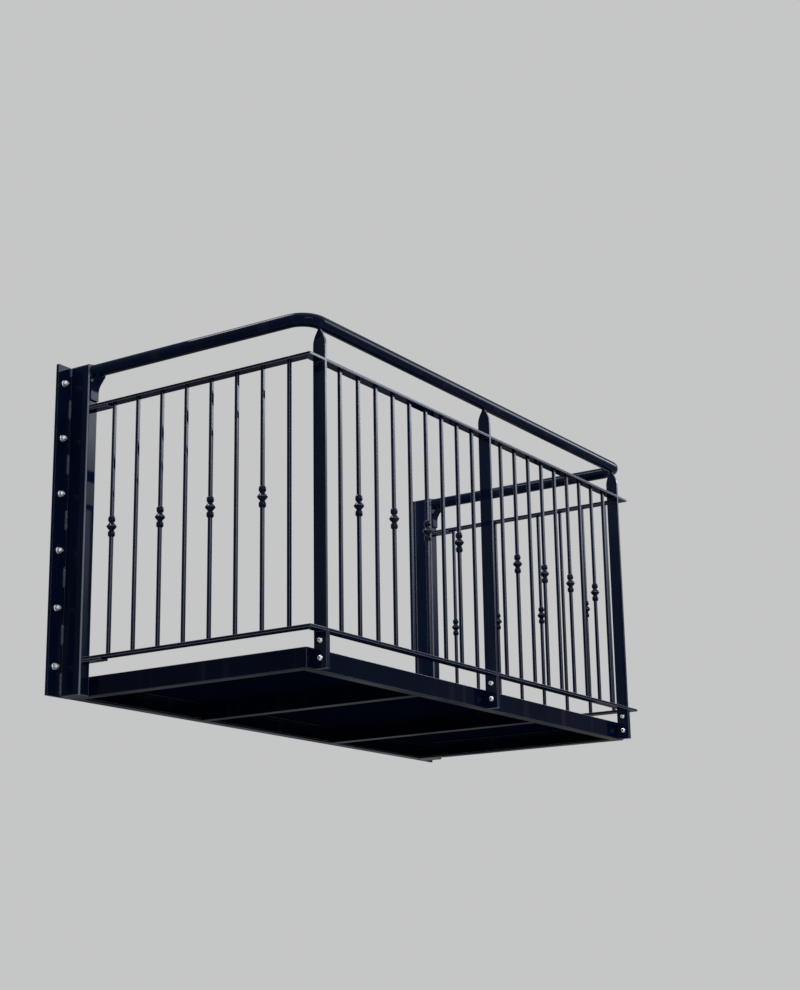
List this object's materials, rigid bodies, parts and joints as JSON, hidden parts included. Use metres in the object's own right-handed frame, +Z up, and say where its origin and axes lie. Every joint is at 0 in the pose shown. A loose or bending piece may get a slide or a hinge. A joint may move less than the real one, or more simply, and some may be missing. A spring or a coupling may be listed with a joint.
{
  "type": "step-out wall balcony",
  "caption": "Shallow steel balcony with a channel frame, square-bar balustrade with turned collars, round handrail and two bolted wall columns.",
  "frame": {"origin": "centre of the rear beam's back face, which lies against the wall", "axes": "+X along the wall to the right as seen from outside, +Y into the wall, +Z up"},
  "size_m": [2.504, 1.092, 1.216],
  "materials": {
    "black_steel": "gloss"
  },
  "bodies": {
    "root": {"deck_plate": "black_steel", "front_beam": "black_steel", "handrail": "black_steel", "left_beam": "black_steel", "left_column": "black_steel", "left_column_caps": "black_steel", "left_front_panel": "black_steel", "left_joist": "black_steel", "left_lug": "black_steel", "left_post": "black_steel", "left_rail_returns": "black_steel", "left_rail_tabs": "black_steel", "left_side_panel": "black_steel", "left_stay": "black_steel", "left_wall_plate": "black_steel", "middle_lug": "black_steel", "middle_post": "black_steel", "rear_beam": "black_steel", "right_beam": "black_steel", "right_column": "black_steel", "right_column_caps": "black_steel", "right_front_panel": "black_steel", "right_joist": "black_steel", "right_lug": "black_steel", "right_post": "black_steel", "right_rail_returns": "black_steel", "right_rail_tabs": "black_steel", "right_side_panel": "black_steel", "right_stay": "black_steel", "right_wall_plate": "black_steel"}
  },
  "joints": []
}
